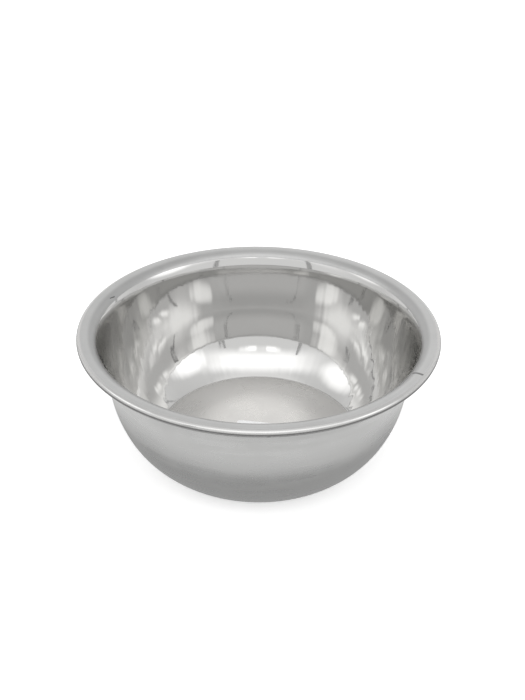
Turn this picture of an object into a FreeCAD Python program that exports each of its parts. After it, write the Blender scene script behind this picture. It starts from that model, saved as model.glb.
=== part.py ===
"""Shaving bowl: one pressed and rolled sheet of stainless steel, with a small paper label on its floor.

The row's frame: +Z is up, along the axis of the bowl. The origin is the centre of the flat underside.
All sizes are in millimetres. The driving dimensions are the cells of the spreadsheet.
"""
import FreeCAD, Part
import math
import os
import Sketcher

V = FreeCAD.Vector

DIMENSIONS = [
    ("rim_diameter", 125.0, "over the rolled edge"),
    ("bowl_height", 48.5, "from the underside to the top of the flange"),
    ("sheet_thickness", 0.6, "stainless sheet, the same all over"),
    ("floor_radius", 37.8, "where the outside of the wall would meet the underside"),
    ("floor_corner_radius", 1.6, "outside radius of the bend between floor and wall"),
    ("lower_arc_radius", 31.9, "outside of the lower, rounder part of the wall"),
    ("lower_arc_height", 26.5, "height of that arc's centre"),
    ("upper_arc_radius", 46.5, "outside of the upper, flatter part of the wall"),
    ("wall_lean", 9.0, "degrees that the straight part of the wall leans out"),
    ("flare_radius", 10.4, "outside of the wall where it starts to turn out"),
    ("flare_slope", 30.0, "degrees of lean where the flare meets the shoulder"),
    ("shoulder_radius", 3.9, "underside of the bend from flare to flange"),
    ("flange_inner_radius", 60.0, "where the flat top of the flange starts"),
    ("curl_radius", 1.3, "outside radius of the rolled edge"),
    ("curl_turn", 265.0, "degrees that the edge is rolled through"),
    ("label_length", 20.0, "across the bowl"),
    ("label_width", 12.0, "front to back"),
    ("label_thickness", 0.1, "coated paper and its adhesive"),
    ("label_corner_radius", 1.0, "rounded corners of the label"),
    ("label_offset", 1.3, "label's centre, to the right of the bowl's axis"),
    ("label_skew", -9.0, "degrees that the label is turned on the floor"),
]

doc = FreeCAD.newDocument("shaving_bowl")
sheet = doc.addObject("Spreadsheet::Sheet", "sizes")
for row, (alias, value, meaning) in enumerate(DIMENSIONS, start=1):
    sheet.set(f"A{row}", alias)
    sheet.set(f"B{row}", str(value))
    sheet.set(f"C{row}", meaning)
    sheet.setAlias(f"B{row}", alias)
doc.recompute()


def size(alias):
    """A driving dimension, read back from the spreadsheet."""
    return float(sheet.get(alias))


def origin_plane(body, role):
    """One of the body's own origin planes, such as XZ_Plane."""
    return next(plane for plane in body.Origin.OriginFeatures if plane.Role == role)


def new_sketch(body, name, role):
    """An empty sketch lying flat on one of the body's origin planes."""
    sketch = body.newObject("Sketcher::SketchObject", name)
    sketch.AttachmentSupport = (origin_plane(body, role), [""])
    sketch.MapMode = "FlatFace"
    return sketch


def bind(sketch, name, reference, expression):
    """Add a named constraint of size or place, whose value follows the spreadsheet."""
    value = float(sketch.evalExpression(expression))
    if reference[0] == "Angle":
        value = math.radians(value)
        expression = f"({expression}) * 1 deg"
    index = sketch.addConstraint(Sketcher.Constraint(*reference, value))
    sketch.renameConstraint(index, name)
    sketch.setExpression(f"Constraints.{name}", expression)


def arc(centre, radius, start, end):
    """Arc geometry for a sketch, drawn anticlockwise between two angles in radians."""
    circle = Part.Circle(V(centre[0], centre[1], 0), V(0, 0, 1), radius)
    return Part.ArcOfCircle(circle, start, end)


def line(start, end):
    """Line geometry for a sketch."""
    return Part.LineSegment(V(start[0], start[1], 0), V(end[0], end[1], 0))


# Ends of a sketch element, and the sketch's own origin and upright axis, as constraints name them.
START, END, CENTRE = 1, 2, 3
ORIGIN, UPRIGHT_AXIS = -1, -2


def leaning(degrees):
    """The direction straight out of a wall that leans out by an angle, as (x, z)."""
    return math.cos(math.radians(degrees)), -math.sin(math.radians(degrees))


def moved(point, direction, distance):
    """A point moved along a direction."""
    return tuple(at + distance * step for at, step in zip(point, direction))


def face_layout(inset):
    """Where one face of the sheet runs, so that the solver starts from the right shape.

    inset is 0 for the outside and underside of the sheet, and its thickness for the inside and top.
    """
    underside_z = size("bowl_height") - size("sheet_thickness")
    flange_z = underside_z + inset
    shoulder_radius = size("shoulder_radius")
    flare_radius = size("flare_radius")
    upper_radius = size("upper_arc_radius")
    lower_radius = size("lower_arc_radius")
    shoulder = (size("flange_inner_radius"), underside_z - shoulder_radius)
    flare = moved(shoulder, leaning(size("flare_slope")), flare_radius - shoulder_radius)
    lower_z = size("lower_arc_height")
    lower = (size("floor_radius") - math.sqrt(lower_radius ** 2 - lower_z ** 2), lower_z)

    wall_out = leaning(size("wall_lean"))
    wall_up = leaning(size("wall_lean") - 90)
    apart = upper_radius - lower_radius
    reach = sum((a - b) * step for a, b, step in zip(flare, lower, wall_out))
    reach -= flare_radius + upper_radius
    upper = moved(moved(lower, wall_out, reach), wall_up, math.sqrt(apart ** 2 - reach ** 2))
    wall_foot = moved(upper, wall_out, upper_radius - inset)
    wall_top = moved(flare, wall_out, -flare_radius - inset)

    join = math.atan2(lower[1] - upper[1], lower[0] - upper[0])
    foot = -math.asin((lower_z - inset) / (lower_radius - inset))
    foot_x = lower[0] + (lower_radius - inset) * math.cos(foot)
    curl = (size("rim_diameter") / 2 - size("curl_radius"), size("bowl_height") - size("curl_radius"))
    curl_radius = size("curl_radius") - size("sheet_thickness") + inset
    upright = math.pi / 2
    flare_end = math.pi - math.radians(size("flare_slope"))
    wall_side = math.pi - math.radians(size("wall_lean"))
    sheet_end = upright - math.radians(size("curl_turn"))
    return [
        line((0, inset), (foot_x, inset)),
        arc(lower, lower_radius - inset, foot, join),
        arc(upper, upper_radius - inset, join, wall_side - math.pi),
        line(wall_foot, wall_top),
        arc(flare, flare_radius + inset, flare_end, wall_side),
        arc(shoulder, shoulder_radius + inset, upright, flare_end),
        line((shoulder[0], flange_z), (curl[0], flange_z)),
        arc(curl, curl_radius, sheet_end, upright),
    ]


def draw_face(sketch, side):
    """Draw one face of the sheet as a chain of tangent lines and arcs, and bind its sizes.

    side is "outside" or "inside". Returns the elements that the two faces are tied together by.
    """
    inset = "0" if side == "outside" else "sizes.sheet_thickness"
    elements = sketch.addGeometry(face_layout(float(sketch.evalExpression(inset))), False)
    floor, lower, upper, wall, flare, shoulder, flange, curl = elements
    sketch.addConstraint([
        Sketcher.Constraint("Horizontal", floor),
        Sketcher.Constraint("Coincident", floor, END, lower, START),
        Sketcher.Constraint("Tangent", lower, END, upper, START),
        Sketcher.Constraint("Tangent", upper, END, wall, START),
        Sketcher.Constraint("Tangent", wall, END, flare, END),
        Sketcher.Constraint("Tangent", flare, START, shoulder, END),
        Sketcher.Constraint("Tangent", shoulder, START, flange, START),
        Sketcher.Constraint("Horizontal", flange),
        Sketcher.Constraint("Tangent", flange, END, curl, END),
    ])
    sizes = [
        ("lower_radius", ("Radius", lower), f"sizes.lower_arc_radius - {inset}"),
        ("upper_radius", ("Radius", upper), f"sizes.upper_arc_radius - {inset}"),
        ("wall_angle", ("Angle", wall), "90 - sizes.wall_lean"),
        ("flare_radius", ("Radius", flare), f"sizes.flare_radius + {inset}"),
        ("shoulder_radius", ("Radius", shoulder), f"sizes.shoulder_radius + {inset}"),
        ("shoulder_turn", ("Angle", shoulder), "90 - sizes.flare_slope"),
        ("shoulder_at", ("DistanceX", ORIGIN, START, shoulder, CENTRE), "sizes.flange_inner_radius"),
        ("flange_at", ("DistanceY", ORIGIN, START, flange, START),
         f"sizes.bowl_height - sizes.sheet_thickness + {inset}"),
        ("curl_radius", ("Radius", curl), f"sizes.curl_radius - sizes.sheet_thickness + {inset}"),
        ("curl_at", ("DistanceX", ORIGIN, START, curl, CENTRE),
         "sizes.rim_diameter / 2 - sizes.curl_radius"),
        ("curl_turn", ("Angle", curl), "sizes.curl_turn"),
    ]
    for name, reference, expression in sizes:
        bind(sketch, f"{side}_{name}", reference, expression)
    return floor, lower, curl


def add_fillet(body, name, base, corner, radius):
    """Round the one circular edge whose radius and height are given as corner, and return the feature."""
    corner_radius, corner_z = corner
    edges = [
        f"Edge{number}"
        for number, edge in enumerate(base.Shape.Edges, start=1)
        if isinstance(edge.Curve, Part.Circle)
        and abs(edge.Curve.Radius - corner_radius) < 1e-3
        and abs(edge.Curve.Center.z - corner_z) < 1e-3
    ]
    fillet = body.newObject("PartDesign::Fillet", name)
    fillet.Base = (base, edges)
    fillet.setExpression("Radius", radius)
    doc.recompute()
    return fillet


def build_bowl_shell():
    """The bowl: floor, wall, flange and rolled edge, all pressed and rolled from one sheet."""
    body = doc.addObject("PartDesign::Body", "bowl_shell")
    section = new_sketch(body, "sheet_section", "XZ_Plane")
    out_floor, out_lower, out_curl = draw_face(section, "outside")
    in_floor, in_lower, in_curl = draw_face(section, "inside")
    centre_line, sheet_end = section.addGeometry([
        line((0, 0), (0, size("sheet_thickness"))),
        line(section.getPoint(out_curl, START), section.getPoint(in_curl, START)),
    ], False)
    section.addConstraint([
        Sketcher.Constraint("Coincident", out_floor, START, ORIGIN, START),
        Sketcher.Constraint("PointOnObject", in_floor, START, UPRIGHT_AXIS),
        Sketcher.Constraint("Coincident", in_lower, CENTRE, out_lower, CENTRE),
        Sketcher.Constraint("Coincident", centre_line, START, out_floor, START),
        Sketcher.Constraint("Coincident", centre_line, END, in_floor, START),
        Sketcher.Constraint("Coincident", sheet_end, START, out_curl, START),
        Sketcher.Constraint("Coincident", sheet_end, END, in_curl, START),
    ])
    bind(section, "thickness", ("DistanceY", in_floor, START), "sizes.sheet_thickness")
    bind(section, "floor_length", ("DistanceX", out_floor, END), "sizes.floor_radius")
    bind(section, "lower_arc_at", ("DistanceY", out_lower, CENTRE), "sizes.lower_arc_height")

    pressed = body.newObject("PartDesign::Revolution", "pressed_sheet")
    pressed.Profile = section
    pressed.ReferenceAxis = (section, ["V_Axis"])
    pressed.Angle = 360
    doc.recompute()

    out_corner = section.getPoint(out_floor, END)
    in_corner = section.getPoint(in_floor, END)
    outside_bend = add_fillet(
        body, "floor_bend_outside", pressed, (out_corner.x, out_corner.y), "sizes.floor_corner_radius")
    body.Tip = add_fillet(
        body, "floor_bend_inside", outside_bend, (in_corner.x, in_corner.y),
        "sizes.floor_corner_radius - sizes.sheet_thickness")
    return body


def build_floor_label():
    """The small label that lies stuck to the floor, a rectangle of paper with rounded corners."""
    body = doc.addObject("PartDesign::Body", "floor_label")
    outline = new_sketch(body, "label_outline", "XY_Plane")
    half_length = size("label_length") / 2
    half_width = size("label_width") / 2
    corners = [
        (-half_length, -half_width), (half_length, -half_width),
        (half_length, half_width), (-half_length, half_width),
    ]
    front, right, back, left = outline.addGeometry(
        [line(corners[i], corners[(i + 1) % 4]) for i in range(4)], False)
    for edge, following in ((front, right), (right, back), (back, left), (left, front)):
        outline.addConstraint(Sketcher.Constraint("Coincident", edge, END, following, START))
    outline.addConstraint([
        Sketcher.Constraint("Horizontal", front),
        Sketcher.Constraint("Horizontal", back),
        Sketcher.Constraint("Vertical", left),
        Sketcher.Constraint("Vertical", right),
        Sketcher.Constraint("Symmetric", front, START, back, START, ORIGIN, START),
    ])
    bind(outline, "length", ("DistanceX", front, START, front, END), "sizes.label_length")
    bind(outline, "width", ("DistanceY", right, START, right, END), "sizes.label_width")

    paper = body.newObject("PartDesign::Pad", "paper")
    paper.Profile = outline
    paper.setExpression("Length", "sizes.label_thickness")
    doc.recompute()
    upright_edges = [
        f"Edge{number}"
        for number, edge in enumerate(paper.Shape.Edges, start=1)
        if abs(edge.Vertexes[0].Z - edge.Vertexes[-1].Z) > size("label_thickness") / 2
    ]
    rounded = body.newObject("PartDesign::Fillet", "rounded_corners")
    rounded.Base = (paper, upright_edges)
    rounded.setExpression("Radius", "sizes.label_corner_radius")
    body.Tip = rounded

    body.Placement = FreeCAD.Placement(V(0, 0, 0), FreeCAD.Rotation(V(0, 0, 1), size("label_skew")))
    body.setExpression("Placement.Base.x", "sizes.label_offset")
    body.setExpression("Placement.Base.z", "sizes.sheet_thickness")
    body.setExpression("Placement.Rotation.Angle", "sizes.label_skew * 1 deg")
    return body


def check_document(parts):
    """Stop before anything is written if a feature failed or a piece isn't one valid solid."""
    failed = [item.Name for item in doc.Objects if {"Invalid", "Error"} & set(item.State)]
    if failed:
        raise RuntimeError(f"features failed: {failed}")
    for part in parts:
        shape = part.Shape
        if shape.isNull() or not shape.isValid() or len(shape.Solids) != 1:
            raise RuntimeError(f"{part.Label} isn't one valid solid")
        sketches = [item for item in part.Group if item.TypeId == "Sketcher::SketchObject"]
        loose = [sketch.Name for sketch in sketches if not sketch.FullyConstrained]
        if loose:
            raise RuntimeError(f"{part.Label} has loose sketches: {loose}")


parts = [build_bowl_shell(), build_floor_label()]
doc.recompute()
check_document(parts)

os.makedirs("parts", exist_ok=True)
for part in parts:
    part.Shape.exportStep(f"parts/{part.Label}.step")
    box = part.Shape.optimalBoundingBox()
    print(f"{part.Label}: {part.Shape.Volume:.1f} mm3, x {box.XMin:.2f} to {box.XMax:.2f}, "
          f"y {box.YMin:.2f} to {box.YMax:.2f}, z {box.ZMin:.2f} to {box.ZMax:.2f}")
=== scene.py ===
# %% [markdown]
# # A stainless steel shaving bowl
#
# The real bowl is one thin sheet of stainless steel. A press draws it into a flat floor and a curved
# wall, turns its top out into a rounded flange, and a roller curls the edge over so that it isn't sharp.
# This lesson builds that sheet as a section that is turned round an axis, and then gives each band of
# the surface the finish that polishing left on it.
#
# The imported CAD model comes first, because the rim's size, the height and the label's place are read
# from it.

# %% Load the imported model
import math
from collections import namedtuple

import bmesh
import bpy
from mathutils import Matrix, Vector


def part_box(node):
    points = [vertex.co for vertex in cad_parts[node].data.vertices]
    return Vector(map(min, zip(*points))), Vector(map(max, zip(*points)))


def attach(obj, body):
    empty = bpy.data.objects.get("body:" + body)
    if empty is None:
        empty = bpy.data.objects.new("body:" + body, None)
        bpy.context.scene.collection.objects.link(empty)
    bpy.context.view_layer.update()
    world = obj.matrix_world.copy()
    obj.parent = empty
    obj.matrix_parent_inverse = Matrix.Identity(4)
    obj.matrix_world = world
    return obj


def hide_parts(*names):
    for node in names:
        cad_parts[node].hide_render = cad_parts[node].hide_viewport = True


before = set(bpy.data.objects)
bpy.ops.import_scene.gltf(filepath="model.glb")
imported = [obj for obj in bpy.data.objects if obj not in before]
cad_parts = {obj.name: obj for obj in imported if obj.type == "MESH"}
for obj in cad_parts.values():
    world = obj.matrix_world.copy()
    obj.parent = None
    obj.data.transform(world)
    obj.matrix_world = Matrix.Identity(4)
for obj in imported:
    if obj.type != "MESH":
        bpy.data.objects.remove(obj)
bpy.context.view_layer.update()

MM = 0.001
shell_low, shell_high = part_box("bowl_shell")
label_low, label_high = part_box("floor_label")
rim_radius = min(shell_high.x, shell_high.y)
bowl_height = shell_high.z
print(f"rim {2000 * rim_radius:.1f} mm across, {1000 * bowl_height:.1f} mm tall")

# %% [markdown]
# ## The sheet's section
#
# The section is drawn in the X-Z plane. It has two faces, 0.6 mm apart, and both turn about the same
# bend centres, so the centres are worked out once: the small bend where the floor turns up, the two
# arcs of the wall, the flare and the shoulder that turn the wall out into the flange, and the rolled
# edge. Between the arcs and the flare the wall is straight and leans out by a few degrees.
#
# The sizes repeat the CAD part's driving dimensions. The rim and the height come from the imported model.
# A lean, a slope or a turn is an angle in degrees, and the other sizes are in metres.

# %% Bend centres
sheet_thickness = 0.6 * MM
floor_radius = 37.8 * MM
floor_bend_radius = 1.6 * MM
lower_arc_radius = 31.9 * MM
lower_arc_height = 26.5 * MM
upper_arc_radius = 46.5 * MM
wall_lean = 9.0
flare_radius = 10.4 * MM
flare_slope = 30.0
shoulder_radius = 3.9 * MM
flange_inner_radius = 60.0 * MM
curl_radius = 1.3 * MM
curl_turn = 265.0


def leaning(degrees):
    """The direction straight out of a wall that leans out by an angle, in the section's plane."""
    return Vector((math.cos(math.radians(degrees)), 0, -math.sin(math.radians(degrees))))


curl_centre = Vector((rim_radius - curl_radius, 0, bowl_height - curl_radius))
shoulder_centre = Vector((flange_inner_radius, 0, bowl_height - sheet_thickness - shoulder_radius))
flare_centre = shoulder_centre + leaning(flare_slope) * (flare_radius - shoulder_radius)
lower_centre = Vector((
    floor_radius - math.sqrt(lower_arc_radius ** 2 - lower_arc_height ** 2), 0, lower_arc_height))
wall_out = leaning(wall_lean)
wall_up = leaning(wall_lean - 90)
arcs_apart = upper_arc_radius - lower_arc_radius
arcs_reach = (flare_centre - lower_centre).dot(wall_out) - flare_radius - upper_arc_radius
upper_centre = (
    lower_centre + wall_out * arcs_reach + wall_up * math.sqrt(arcs_apart ** 2 - arcs_reach ** 2))
bend_rise = lower_arc_height - floor_bend_radius
bend_reach = math.sqrt((lower_arc_radius - floor_bend_radius) ** 2 - bend_rise ** 2)
floor_bend_centre = Vector((lower_centre.x + bend_reach, 0, floor_bend_radius))

slope_at_bend = 90 - math.degrees(math.atan2(bend_rise, bend_reach))
slope_at_join = 90 - math.degrees(
    math.atan2(upper_centre.z - lower_centre.z, lower_centre.x - upper_centre.x))
print(f"wall leaves the floor at {slope_at_bend:.1f} degrees, arcs join at {slope_at_join:.1f} degrees")
print(f"upper arc about {upper_centre.x / MM:.2f}, {upper_centre.z / MM:.2f} mm")

# %% [markdown]
# ## Turning the bands
#
# A section can be revolved in one go, but then every face has the same finish. Here the section is
# turned band by band, as a polisher works: each band is a few moves of one vertex. A straight move
# extrudes the vertex, and a bend spins it about a bend centre, which gives a true arc. The band's edges
# are then spun once round the bowl, and its faces take the band's finish. Neighbouring bands share
# their end points, so merging doubles at the end closes the shell.

# %% Lathe helpers
steps_around = 256
same_point = 0.0001 * MM
ANTICLOCKWISE = (0, -1, 0)


def straight_to(x, z, parts=1):
    """A straight move of the section's tip, in a number of equal parts."""
    return ("straight", Vector((x, 0, z)), parts)


def bend_about(centre, degrees, steps):
    """A bend of the section's tip about a centre, anticlockwise when degrees is positive."""
    return ("bend", centre, degrees, steps)


def turn_band(shell, start, moves, finish):
    """Draw one band's section, spin it round the axis into the shell, and return where it ends."""
    band = bmesh.new()
    tip = band.verts.new(start)
    for kind, target, amount, *steps in moves:
        if kind == "straight":
            step = (target - tip.co) / amount
            for _ in range(amount):
                place = tip.co + step
                tip = bmesh.ops.extrude_vert_indiv(band, verts=[tip])["verts"][0]
                tip.co = place
        else:
            spun = bmesh.ops.spin(
                band, geom=[tip], cent=target, axis=ANTICLOCKWISE, angle=math.radians(amount),
                steps=steps[0], use_merge=False, use_duplicate=False)
            tip = next(item for item in spun["geom_last"] if isinstance(item, bmesh.types.BMVert))
    end = tip.co.copy()
    bmesh.ops.spin(
        band, geom=band.edges[:], cent=(0, 0, 0), axis=(0, 0, 1), angle=math.tau, steps=steps_around,
        use_merge=True, use_duplicate=False)
    for face in band.faces:
        face.material_index = finish
        face.smooth = True
    turned = bpy.data.meshes.new("band")
    band.to_mesh(turned)
    band.free()
    shell.from_mesh(turned)
    bpy.data.meshes.remove(turned)
    return end


def finish_mesh(bm, name, finishes):
    """Merge doubles, turn the faces outwards and make an object of the mesh, with its finishes."""
    bmesh.ops.remove_doubles(bm, verts=bm.verts, dist=same_point)
    bmesh.ops.recalc_face_normals(bm, faces=bm.faces)
    mesh = bpy.data.meshes.new(name)
    bm.to_mesh(mesh)
    open_edges = sum(not edge.is_manifold for edge in bm.edges)
    volume = bm.calc_volume(signed=True)
    bm.free()
    for finish in finishes:
        mesh.materials.append(finish)
    piece = bpy.data.objects.new(name, mesh)
    bpy.context.scene.collection.objects.link(piece)
    print(f"{name}: {len(mesh.polygons)} faces, {open_edges} open edges")
    if open_edges == 0:
        print(f"{name}: closed, {volume / MM ** 3:.1f} mm3")
    return piece

# %% [markdown]
# ## Helpers for finishes
#
# Every finish is a small node tree on a Principled shader. It takes many lines to add nodes one by one,
# so short helpers add a node, do a sum, move a value from one range to another, and blend two masks.

# %% Node helpers
def put(tree, kind, settings=None, **inputs):
    """Add a node. settings are its own properties, and inputs are values or sockets to link from."""
    made = tree.nodes.new("ShaderNode" + kind)
    for name, value in (settings or {}).items():
        setattr(made, name, value)
    for name, value in inputs.items():
        index = {"a": 0, "b": 1, "c": 2}.get(name)
        socket = made.inputs[name.replace("_", " ") if index is None else index]
        if isinstance(value, bpy.types.NodeSocket):
            tree.links.new(value, socket)
        else:
            socket.default_value = value
    return made


def calculate(tree, operation, a, b=0.0, c=0.0):
    """A Math node's result."""
    return put(tree, "Math", {"operation": operation}, a=a, b=b, c=c).outputs[0]


def rescale(tree, value, low, high, new_low, new_high):
    """A value moved smoothly from one range to another, and held at its ends."""
    return put(
        tree, "MapRange", {"interpolation_type": "SMOOTHSTEP"}, Value=value, From_Min=low,
        From_Max=high, To_Min=new_low, To_Max=new_high).outputs["Result"]


def blend(tree, fine, share, coarse):
    """Two masks added together, with a share of the first and the rest of the second."""
    return calculate(
        tree, "MULTIPLY_ADD", fine, share, calculate(tree, "MULTIPLY", coarse, 1 - share))

# %% [markdown]
# ## Coordinates that follow the lathe
#
# A turned piece shows marks that run round it, so its patterns need coordinates that follow the lathe:
# the direction from the axis says where a point is around the bowl, and radius plus height grows
# steadily along the sheet from the middle of the floor to the rim. Scaling the two apart stretches a
# noise into rings or into upright ripples. An angle would show a seam where it jumps back to zero, and a
# direction has no place where it jumps.

# %% Turned coordinates
Turned = namedtuple("Turned", "across back along radius height")


def turned_place(tree):
    """The direction from the axis as two numbers, radius plus height, the radius and the height."""
    place = put(tree, "TexCoord").outputs["Object"]
    axes = put(tree, "SeparateXYZ", Vector=place).outputs
    flat = put(tree, "CombineXYZ", X=axes["X"], Y=axes["Y"])
    radius = put(tree, "VectorMath", {"operation": "LENGTH"}, a=flat.outputs[0]).outputs["Value"]
    never_zero = calculate(tree, "MAXIMUM", radius, 0.5 * MM)
    return Turned(
        across=calculate(tree, "DIVIDE", axes["X"], never_zero),
        back=calculate(tree, "DIVIDE", axes["Y"], never_zero),
        along=calculate(tree, "ADD", radius, axes["Z"]),
        radius=radius,
        height=axes["Z"])


def turned_noise(tree, place, around, along, detail=3.0, roughness=0.5, shift=0.0):
    """Noise whose features are about 1/around of the radius long and 1/along metres across."""
    vector = put(
        tree, "CombineXYZ",
        X=calculate(tree, "MULTIPLY_ADD", place.across, around, shift),
        Y=calculate(tree, "MULTIPLY_ADD", place.back, around, shift),
        Z=calculate(tree, "MULTIPLY", place.along, along)).outputs[0]
    return put(
        tree, "TexNoise", Vector=vector, Scale=1.0, Detail=detail, Roughness=roughness).outputs["Fac"]

# %% [markdown]
# ## What a mask can do to a surface
#
# A mask is a number between 0 and 1 over the surface. It can vary the colour, stain it, make it rougher,
# or stand for a height. A height goes through a Bump node, which changes the way the surface seems to
# face and leaves the mesh as it is. That suits marks of a few hundredths of a millimetre: they bend
# reflections, but they are too shallow to show in the outline.

# %% Surface helpers
def new_finish(name, colour, metallic, roughness):
    """A material with a Principled shader whose even values are set on its own sockets."""
    finish = bpy.data.materials.new(name)
    finish.use_nodes = True
    tree = finish.node_tree
    shader = tree.nodes["Principled BSDF"]
    shader.inputs["Base Color"].default_value = (*colour, 1)
    shader.inputs["Metallic"].default_value = metallic
    shader.inputs["Roughness"].default_value = roughness
    return finish, tree, shader


def describe(finish):
    """Print how large a finish's node tree is, and hand the finish on."""
    print(f"{finish.name}: {len(finish.node_tree.nodes)} nodes")
    return finish


def tint(tree, shader, mask, low, high):
    """Vary the shader's colour between two colours by a mask."""
    mix = put(tree, "Mix", {"data_type": "RGBA"}, Factor=mask)
    mix.inputs[6].default_value = (*low, 1)
    mix.inputs[7].default_value = (*high, 1)
    tree.links.new(mix.outputs[2], shader.inputs["Base Color"])


def stain(tree, shader, mask):
    """Darken the shader's colour, which is already linked, where the mask is 1."""
    clean = shader.inputs["Base Color"].links[0].from_socket
    mix = put(tree, "Mix", {"data_type": "RGBA"}, Factor=mask)
    tree.links.new(clean, mix.inputs[6])
    mix.inputs[7].default_value = (0.1, 0.1, 0.1, 1)
    tree.links.new(mix.outputs[2], shader.inputs["Base Color"])


def roughen(tree, shader, mask, smooth, rough, mask_low=0.3, mask_high=0.7):
    """Vary the shader's roughness between two values, over the part of the mask that is used."""
    roughness = rescale(tree, mask, mask_low, mask_high, smooth, rough)
    tree.links.new(roughness, shader.inputs["Roughness"])


def relief(tree, shader, height, depth, before=None):
    """Raise or sink the surface by a height map, depth metres from its lowest to its highest."""
    bump = put(tree, "Bump", Height=height, Distance=depth, Strength=1.0)
    if before is not None:
        tree.links.new(before, bump.inputs["Normal"])
    tree.links.new(bump.outputs["Normal"], shader.inputs["Normal"])
    return bump.outputs["Normal"]


def stroke(tree, x, y, degrees, length, width):
    """A mask that is 1 on one short straight stroke, seen from above, and fades at its sides."""
    place = put(tree, "TexCoord").outputs["Object"]
    turned = put(
        tree, "Mapping", {"vector_type": "TEXTURE"}, Vector=place, Location=(x, y, 0),
        Rotation=(0, 0, math.radians(degrees))).outputs[0]
    axes = put(tree, "SeparateXYZ", Vector=turned).outputs
    reach = calculate(tree, "ABSOLUTE", axes["X"])
    aside = calculate(tree, "ABSOLUTE", axes["Y"])
    along = rescale(tree, reach, 0.45 * length, 0.55 * length, 1.0, 0.0)
    across = rescale(tree, aside, 0.35 * width, 0.6 * width, 1.0, 0.0)
    return calculate(tree, "MULTIPLY", along, across)

# %% [markdown]
# ## The mirror-buffed wall
#
# The inner wall is buffed to a mirror. Buffing never leaves a perfect one: the drawn sheet keeps very
# shallow upright ripples, which bend reflections into wavy streaks, and the buff leaves a faint haze and
# fine lines. The ripples die out towards the stiff bend at the top.

# %% Mirror-buffed wall
steel = (0.655, 0.652, 0.645)


def mirror_wall():
    ripple_depth = 0.07 * MM
    hairline_depth = 0.0006 * MM
    ripples_weaken_at = bowl_height - 16 * MM
    ripples_weakest_at = bowl_height - 5 * MM
    finish, tree, shader = new_finish("mirror_buffed_steel", steel, 1.0, 0.06)
    place = turned_place(tree)
    haze = turned_noise(tree, place, around=3, along=60, detail=4, roughness=0.6)
    lines = turned_noise(tree, place, around=4, along=2500, detail=2)
    roughen(tree, shader, blend(tree, lines, 0.35, haze), 0.035, 0.11, mask_low=0.35, mask_high=0.75)
    tint(tree, shader, haze, (0.64, 0.637, 0.628), (0.67, 0.667, 0.658))
    ripples = turned_noise(tree, place, around=13, along=5, detail=1)
    hairlines = turned_noise(tree, place, around=2, along=4000, detail=1, shift=7.3)
    calmer_at_top = rescale(tree, place.height, ripples_weaken_at, ripples_weakest_at, 1.0, 0.25)
    ripples = calculate(tree, "MULTIPLY", ripples, calmer_at_top)
    rippled = relief(tree, shader, ripples, ripple_depth)
    relief(tree, shader, hairlines, hairline_depth, before=rippled)
    return finish


wall_finish = describe(mirror_wall())

# %% [markdown]
# ## The satin flange
#
# The flange is only satin, with a fine hatch across it: the noise is stretched from the inside to the
# outside of the rim, and squeezed round it. Its colour is painted a little lighter towards the right,
# which is painted light, and it has painted shade where it rounds over into the bowl.
#
# A used bowl also has marks. The flange has a short dark mark at the right and a nick at the left. They
# are made as stains in the colour, because they are too small to change the outline.

# %% Satin flange
def satin_flange():
    hatch_depth = 0.012 * MM
    painted_light_to_the_right = 0.18
    painted_shade_from_radius = 59.3 * MM
    painted_shade_full_at_radius = 57.8 * MM
    painted_shade_darkness = 0.28
    mark_darkness = 0.7
    finish, tree, shader = new_finish("satin_flange_steel", steel, 1.0, 0.36)
    place = turned_place(tree)
    hatch = turned_noise(tree, place, around=110, along=160, detail=3)
    cloud = turned_noise(tree, place, around=5, along=130, detail=5, roughness=0.6, shift=2.1)
    roughen(tree, shader, blend(tree, hatch, 0.5, cloud), 0.3, 0.44)
    # Painted light: the colour is made lighter towards the right, on top of a random cloud.
    shade = calculate(tree, "MULTIPLY_ADD", place.across, painted_light_to_the_right, cloud)
    tint(tree, shader, shade, (0.53, 0.53, 0.525), (0.66, 0.66, 0.655))
    # Painted shade darkens the colour where the flange rounds over into the bowl.
    stain(tree, shader, rescale(
        tree, place.radius, painted_shade_from_radius, painted_shade_full_at_radius, 0.0, painted_shade_darkness))
    mark = stroke(tree, x=51.0 * MM, y=-31.5 * MM, degrees=-34, length=4.9 * MM, width=1.0 * MM)
    nick = stroke(tree, x=-53.8 * MM, y=18.8 * MM, degrees=59, length=2.6 * MM, width=0.3 * MM)
    mark = calculate(tree, "MULTIPLY", mark, mark_darkness)
    stain(tree, shader, calculate(tree, "MAXIMUM", mark, nick))
    relief(tree, shader, hatch, hatch_depth)
    return finish


flange_finish = describe(satin_flange())

# %% [markdown]
# ## The brushed floor and the satin outside
#
# The floor and the outside were brushed while the bowl turned, so their marks run round it: on the floor
# they are rings, and outside they are level streaks. The finest noises are long round the bowl and about
# a quarter of a millimetre across. A slower cloud breaks them up, because even rings look too perfect.

# %% Brushed floor
def brushed_floor():
    grain_depth = 0.0006 * MM
    finish, tree, shader = new_finish("brushed_floor_steel", steel, 1.0, 0.2)
    place = turned_place(tree)
    grain = turned_noise(tree, place, around=3, along=4200, detail=3)
    cloud = turned_noise(tree, place, around=2, along=90, detail=5, roughness=0.62, shift=4.6)
    roughen(tree, shader, blend(tree, grain, 0.45, cloud), 0.24, 0.38)
    tint(tree, shader, cloud, (0.71, 0.70, 0.685), (0.77, 0.76, 0.745))
    relief(tree, shader, grain, grain_depth)
    return finish


floor_finish = describe(brushed_floor())


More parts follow.
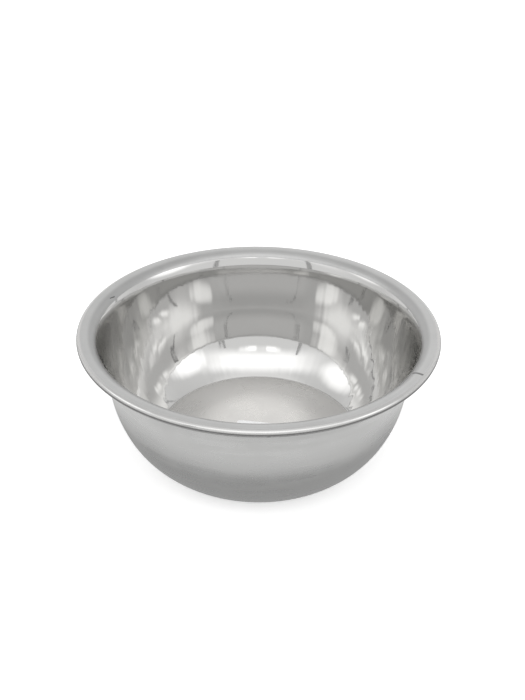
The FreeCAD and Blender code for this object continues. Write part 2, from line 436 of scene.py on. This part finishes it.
# %% Satin outside
def satin_outside():
    grain_depth = 0.002 * MM
    finish, tree, shader = new_finish("satin_outside_steel", steel, 1.0, 0.3)
    place = turned_place(tree)
    grain = turned_noise(tree, place, around=6, along=3600, detail=3)
    streaks = turned_noise(tree, place, around=2.5, along=420, detail=2, shift=9.2)
    cloud = turned_noise(tree, place, around=4, along=60, detail=5, roughness=0.6, shift=3.4)
    mixed = blend(tree, streaks, 0.5, cloud)
    roughen(tree, shader, mixed, 0.22, 0.36)
    tint(tree, shader, rescale(tree, mixed, 0.3, 0.7, 0.0, 1.0), (0.605, 0.605, 0.6), (0.66, 0.66, 0.65))
    relief(tree, shader, grain, grain_depth)
    return finish


outside_finish = describe(satin_outside())

# %% [markdown]
# ## The rolled edge
#
# Hands and cloths keep the rolled edge smoother than the flange beside it, so it is brighter, with fine
# wear. It has painted shade where it turns under, and there is a dark speck under the front lip.

# %% Rolled edge
def rolled_edge_steel():
    wear_depth = 0.004 * MM
    lip_turns_under = bowl_height - 0.8 * MM
    lip_is_under = bowl_height - 1.4 * MM
    painted_shade_under_lip = 0.45
    speck_starts = bowl_height - 1.6 * MM
    speck_is_full = bowl_height - 2.0 * MM
    finish, tree, shader = new_finish("rolled_edge_steel", steel, 1.0, 0.18)
    place = turned_place(tree)
    wear = turned_noise(tree, place, around=20, along=900, detail=3)
    roughen(tree, shader, wear, 0.12, 0.26)
    tint(tree, shader, wear, (0.62, 0.617, 0.61), steel)
    low_enough = rescale(tree, place.height, speck_starts, speck_is_full, 0.0, 1.0)
    speck = stroke(tree, x=3.2 * MM, y=-61.9 * MM, degrees=4, length=1.2 * MM, width=1.2 * MM)
    stain(tree, shader, calculate(tree, "MULTIPLY", speck, low_enough))
    # Painted shade where the lip turns under.
    stain(tree, shader, rescale(
        tree, place.height, lip_turns_under, lip_is_under, 0.0, painted_shade_under_lip))
    relief(tree, shader, wear, wear_depth)
    return finish


edge_finish = describe(rolled_edge_steel())

# %% [markdown]
# ## The shell
#
# The inside and top of the sheet are turned first, from the middle of the floor to the end of the
# rolled edge. The outside follows the same bends one thickness further out. A last narrow band closes
# the sheet's cut end. A short straight move just before the floor's bend keeps the floor's shading flat.

# %% Turn the shell
FLOOR, WALL, FLANGE, EDGE, OUTSIDE = range(5)
support = 0.4 * MM


def face_of_sheet(bm, inset, bands):
    """Turn one face of the sheet. inset is 0 outside, and the sheet's thickness inside."""
    floor_band, wall_band, flange_band, edge_band = bands
    flange_z = bowl_height - sheet_thickness + inset
    wall_end = flare_centre - wall_out * (flare_radius + inset)
    end = turn_band(bm, (0, 0, inset), [
        straight_to(floor_bend_centre.x - support, inset),
        straight_to(floor_bend_centre.x, inset),
    ], floor_band)
    end = turn_band(bm, end, [
        bend_about(floor_bend_centre, slope_at_bend, 8),
        bend_about(lower_centre, slope_at_join - slope_at_bend, 30),
        bend_about(upper_centre, 90 - wall_lean - slope_at_join, 14),
        straight_to(wall_end.x, wall_end.z, 8),
        bend_about(flare_centre, wall_lean - flare_slope, 10),
    ], wall_band)
    end = turn_band(bm, end, [
        bend_about(shoulder_centre, flare_slope - 90, 16),
        straight_to(curl_centre.x, flange_z, 3),
    ], flange_band)
    return turn_band(bm, end, [bend_about(curl_centre, -curl_turn, 26)], edge_band)


shell_mesh = bmesh.new()
inside_end = face_of_sheet(shell_mesh, sheet_thickness, (FLOOR, WALL, FLANGE, EDGE))
outside_end = face_of_sheet(shell_mesh, 0.0, (OUTSIDE, OUTSIDE, OUTSIDE, EDGE))
turn_band(shell_mesh, outside_end, [straight_to(inside_end.x, inside_end.z)], EDGE)
bowl = finish_mesh(shell_mesh, "pressed_bowl", [
    floor_finish, wall_finish, flange_finish, edge_finish, outside_finish])
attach(bowl, "root")
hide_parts("bowl_shell")

# %% [markdown]
# ## The label's paper
#
# A small paper label is stuck to the floor. Coated paper is smooth to the eye, but its fibres still break
# up a highlight. It stays blank but for a faint row of plain dashes, patchy as worn ink is. A faint glow,
# which is painted light, keeps the white paper bright.

# %% Label paper
label_skew = math.radians(-9.0)
label_centre = (label_low + label_high) / 2


def label_paper():
    white = (0.95, 0.95, 0.95)
    ink_grey = (0.42, 0.42, 0.44)
    painted_glow = 0.12
    dashes_per_metre = 700.0
    dash_share = 0.55
    row_from_middle = 3.3 * MM
    row_half_height = 0.7 * MM
    row_half_length = 7.0 * MM
    finish, tree, shader = new_finish("coated_label_paper", white, 0.0, 0.45)
    # A faint glow, painted light that keeps the paper white.
    shader.inputs["Emission Color"].default_value = (0.97, 0.98, 1, 1)
    shader.inputs["Emission Strength"].default_value = painted_glow
    place = put(tree, "TexCoord").outputs["Object"]
    turned = put(
        tree, "Mapping", {"vector_type": "TEXTURE"}, Vector=place,
        Location=(label_centre.x, label_centre.y, 0), Rotation=(0, 0, label_skew)).outputs[0]
    fibre = put(tree, "TexNoise", Vector=turned, Scale=1800.0, Detail=4.0).outputs["Fac"]
    mottle = put(tree, "TexNoise", Vector=turned, Scale=160.0, Detail=3.0).outputs["Fac"]
    axes = put(tree, "SeparateXYZ", Vector=turned).outputs
    repeat = calculate(tree, "FRACT", calculate(tree, "MULTIPLY", axes["X"], dashes_per_metre))
    dash = calculate(tree, "LESS_THAN", repeat, dash_share)
    off_row = calculate(tree, "ABSOLUTE", calculate(tree, "SUBTRACT", axes["Y"], row_from_middle))
    row = calculate(tree, "LESS_THAN", off_row, row_half_height)
    span = calculate(tree, "LESS_THAN", calculate(tree, "ABSOLUTE", axes["X"]), row_half_length)
    dashes = calculate(tree, "MULTIPLY", dash, calculate(tree, "MULTIPLY", row, span))
    ink = calculate(tree, "MULTIPLY", dashes, rescale(tree, mottle, 0.35, 0.6, 0.35, 0.75))
    tint(tree, shader, ink, white, ink_grey)
    roughen(tree, shader, fibre, 0.4, 0.6)
    relief(tree, shader, fibre, 0.01 * MM)
    return finish


label_finish = describe(label_paper())

# %% [markdown]
# ## The label
#
# The label is cut as a maker would cut it: a rectangle, with its corners rounded by a vertex bevel, given
# the thickness of the paper, turned a few degrees and laid on the floor.

# %% Cut and lay the label
label_length = 20.0 * MM
label_width = 12.0 * MM
label_corner = 1.0 * MM
label_thickness = label_high.z - label_low.z

label_mesh = bmesh.new()
bmesh.ops.create_grid(label_mesh, x_segments=1, y_segments=1, size=0.5)
bmesh.ops.scale(label_mesh, verts=label_mesh.verts, vec=(label_length, label_width, 1))
bmesh.ops.bevel(
    label_mesh, geom=label_mesh.verts[:], offset=label_corner, offset_type="OFFSET", segments=6,
    profile=0.5, affect="VERTICES", material=-1)
raised = bmesh.ops.extrude_face_region(label_mesh, geom=label_mesh.faces[:])["geom"]
bmesh.ops.translate(
    label_mesh, verts=[item for item in raised if isinstance(item, bmesh.types.BMVert)],
    vec=(0, 0, label_thickness))
bmesh.ops.rotate(
    label_mesh, verts=label_mesh.verts, cent=(0, 0, 0), matrix=Matrix.Rotation(label_skew, 3, "Z"))
bmesh.ops.translate(
    label_mesh, verts=label_mesh.verts, vec=(label_centre.x, label_centre.y, label_low.z))
label = finish_mesh(label_mesh, "paper_label", [label_finish])
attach(label, "root")
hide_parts("floor_label")

# %% [markdown]
# ## The studio floor
#
# A mirror shows the room more than itself, so the room is part of the look. It is a plain one. The bowl
# stands on a wide pale floor, which gives a little light of its own so that it stays white.

# %% Studio floor
def studio_floor():
    finish, tree, shader = new_finish("pale_studio_floor", (0.93, 0.93, 0.93), 0.0, 0.9)
    shader.inputs["Specular IOR Level"].default_value = 0.1
    shader.inputs["Emission Color"].default_value = (1, 1, 1, 1)
    shader.inputs["Emission Strength"].default_value = 0.4
    place = put(tree, "TexCoord").outputs["Object"]
    mottle = put(tree, "TexNoise", Vector=place, Scale=3.0, Detail=2.0).outputs["Fac"]
    tint(tree, shader, mottle, (0.92, 0.92, 0.92), (0.94, 0.94, 0.94))
    return finish


below_bowl = -0.2 * MM
floor_mesh = bmesh.new()
bmesh.ops.create_circle(floor_mesh, cap_ends=True, segments=96, radius=6.0)
bmesh.ops.translate(floor_mesh, verts=floor_mesh.verts, vec=(0, 0, below_bowl))
studio = finish_mesh(floor_mesh, "studio_floor", [studio_floor()])

# %% [markdown]
# ## The surround's light
#
# There are no lamps. Most of the light comes from the world, whose brightness depends only on the
# direction that it is seen in. A direction has three parts: east is to the right, north is to the back
# and up is up, each from -1 to 1.
#
# The even light is a bit stronger towards the front, low at the back, and overhead.

# %% Even light
world = bpy.data.worlds.new("pale_surround")
world.use_nodes = True
bpy.context.scene.world = world
sky = world.node_tree
direction = put(sky, "TexCoord").outputs["Generated"]
toward = put(sky, "SeparateXYZ", Vector=direction).outputs
east, north, up = toward["X"], toward["Y"], toward["Z"]


def product(*masks):
    """The world's masks multiplied together."""
    result = masks[0]
    for mask in masks[1:]:
        result = calculate(sky, "MULTIPLY", result, mask)
    return result


def lit(strength, mask, amount):
    """The world's strength with an amount of light added where the mask is 1."""
    return calculate(sky, "MULTIPLY_ADD", mask, amount, strength)


even_light = 0.74
towards_front = rescale(sky, north, 0.5, -0.6, 0.0, 1.0)
towards_back = rescale(sky, north, 0.05, 0.5, 0.0, 1.0)
low_down = rescale(sky, up, 0.78, 0.45, 0.0, 1.0)
overhead = rescale(sky, up, 0.86, 0.96, 0.0, 1.0)
strength = lit(even_light, towards_front, 0.17)
strength = lit(strength, product(towards_back, low_down), 0.17)
strength = lit(strength, overhead, 0.17)

# %% [markdown]
# ## Panel, strip and windows
#
# A large soft panel stands at the front, 55 degrees up, and makes the bright bend at the back of the
# bowl. A thin strip below its middle, in two halves with a dim gap, makes two short highlights there. A
# soft window at either side makes the streaks on the sides of the wall.

# %% Soft panel
panel_elevation = math.radians(55)
above_panel = calculate(
    sky, "MULTIPLY_ADD", north, math.sin(panel_elevation),
    calculate(sky, "MULTIPLY", up, math.cos(panel_elevation)))
in_front = rescale(sky, north, 0.15, -0.15, 0.0, 1.0)
panel = product(
    rescale(sky, above_panel, -0.36, -0.10, 0.0, 1.0),
    rescale(sky, above_panel, 0.34, 0.08, 0.0, 1.0),
    in_front,
    rescale(sky, calculate(sky, "ABSOLUTE", east), 0.95, 0.30, 0.0, 1.0))
strength = lit(strength, panel, 0.75)

# %% Strip in two halves
strip_up = 0.58
gap_east = -0.03
off_strip = calculate(sky, "ABSOLUTE", calculate(sky, "SUBTRACT", up, strip_up))
off_gap = calculate(sky, "ABSOLUTE", calculate(sky, "SUBTRACT", east, gap_east))
strip = product(
    rescale(sky, off_strip, 0.085, 0.0, 0.0, 1.0),
    in_front,
    rescale(sky, off_gap, 0.34, 0.12, 0.0, 1.0),
    rescale(sky, off_gap, 0.03, 0.09, 0.2, 1.0))
strength = lit(strength, strip, 1.0)

# %% Side windows
left_window = (-0.85, -0.02, 0.53)
right_window = (0.845, -0.26, 0.47)
for window in (left_window, right_window):
    nearness = put(
        sky, "VectorMath", {"operation": "DOT_PRODUCT"}, a=direction, b=window).outputs["Value"]
    strength = lit(strength, rescale(sky, nearness, 0.94, 1.0, 0.0, 1.0), 0.8)
sky.links.new(strength, sky.nodes["Background"].inputs["Strength"])
sky.nodes["Background"].inputs["Color"].default_value = (1, 1, 1, 1)
print(f"surround: {len(sky.nodes)} nodes")

# %% [markdown]
# ## Dark uprights
#
# An evenly lit mirror looks like plain grey paint. Four thin grey cards stand round the bowl, as the
# posts of a light tent would, and give its reflections a few dark lines. The camera doesn't see them and
# they cast no shadow.

# %% Dark uprights
def dark_upright(name, bearing, width, height):
    """A thin grey card that stands on the floor. bearing is in degrees from the front, to the right."""
    finish, tree, shader = new_finish(name + "_card", (0.42, 0.42, 0.42), 0.0, 0.8)
    card_mesh = bmesh.new()
    bmesh.ops.create_grid(card_mesh, x_segments=1, y_segments=1, size=0.5)
    bmesh.ops.scale(card_mesh, verts=card_mesh.verts, vec=(width, height, 1))
    bmesh.ops.rotate(
        card_mesh, verts=card_mesh.verts, cent=(0, 0, 0), matrix=Matrix.Rotation(math.pi / 2, 3, "X"))
    bmesh.ops.translate(card_mesh, verts=card_mesh.verts, vec=(0, -upright_distance, height / 2))
    bmesh.ops.rotate(
        card_mesh, verts=card_mesh.verts, cent=(0, 0, 0),
        matrix=Matrix.Rotation(math.radians(bearing), 3, "Z"))
    card = finish_mesh(card_mesh, name, [finish])
    card.visible_camera = False
    card.visible_shadow = False


upright_distance = 1.0
dark_upright("left_upright", -38, 0.07, 0.8)
dark_upright("right_upright", 33, 0.06, 0.62)
dark_upright("back_left_upright", -129, 0.035, 1.5)
dark_upright("back_right_upright", 122, 0.035, 1.5)

# %% [markdown]
# ## The ground in reflections
#
# The outside of the bowl mirrors the ground. A white floor would make it glare, so the steel sees a card
# just above the floor instead: dim under the bowl, lit in a ring round its foot, dimmer outside the ring,
# and a little lighter again further out. The card is black and glows by itself, so its brightness is
# what the masks say. The camera doesn't see it, and it adds no soft light and no shadow.
#
# Light bounces many times between the facing walls of a polished bowl. With too few bounces the last
# reflections near the opening turn black, so the limit is raised.

# %% Ground card
def reflected_ground():
    finish, tree, shader = new_finish("reflected_ground_card", (0, 0, 0), 0.0, 1.0)
    shader.inputs["Specular IOR Level"].default_value = 0.0
    shader.inputs["Emission Color"].default_value = (1, 1, 1, 1)
    reach = turned_place(tree).radius
    # The glow paints the ground's light and shade: a painted shadow under the bowl, a painted lit ring
    # round its foot, a dimmer band outside it and lighter ground further out.
    under_and_ring = rescale(tree, reach, 58 * MM, 84 * MM, 0.42, 1.1)
    dip = rescale(tree, reach, 78 * MM, 94 * MM, 1.0, 0.3)
    further_out = rescale(tree, reach, 110 * MM, 260 * MM, 0.0, 0.3)
    glow = calculate(tree, "MULTIPLY_ADD", under_and_ring, dip, further_out)
    tree.links.new(glow, shader.inputs["Emission Strength"])
    card_mesh = bmesh.new()
    bmesh.ops.create_circle(card_mesh, cap_ends=True, segments=64, radius=1.5)
    bmesh.ops.translate(card_mesh, verts=card_mesh.verts, vec=(0, 0, below_bowl / 2))
    card = finish_mesh(card_mesh, "reflected_ground", [finish])
    card.visible_camera = False
    card.visible_diffuse = False
    card.visible_shadow = False


reflected_ground()
bpy.context.scene.cycles.max_bounces = 24
bpy.context.scene.cycles.glossy_bounces = 24

# %% [markdown]
# ## Camera
#
# The camera stands close, about 30 cm from the middle of the rim, and looks down at about 32 degrees, so
# the far side of the rim is clearly smaller than the near side. It is turned and rolled by less than a
# degree, as a hand-held camera is.

# %% Camera
camera_distance = 4.75 * rim_radius
camera_elevation = math.radians(30.11)
camera_pitch = math.radians(31.98)
camera_yaw = math.radians(-0.30)
camera_roll = math.radians(0.76)
view = bpy.data.cameras.new("camera")
view.lens = 43.95
view.clip_start = 0.01
camera = bpy.data.objects.new("camera", view)
bpy.context.scene.collection.objects.link(camera)
camera.matrix_world = (
    Matrix.Translation((
        0, -camera_distance * math.cos(camera_elevation),
        bowl_height + camera_distance * math.sin(camera_elevation)))
    @ Matrix.Rotation(camera_yaw, 4, "Z")
    @ Matrix.Rotation(math.pi / 2 - camera_pitch, 4, "X")
    @ Matrix.Rotation(camera_roll, 4, "Z"))
bpy.context.scene.camera = camera
bpy.context.scene.view_settings.view_transform = "Standard"
print(f"camera {1000 * camera_distance:.0f} mm from the middle of the rim")
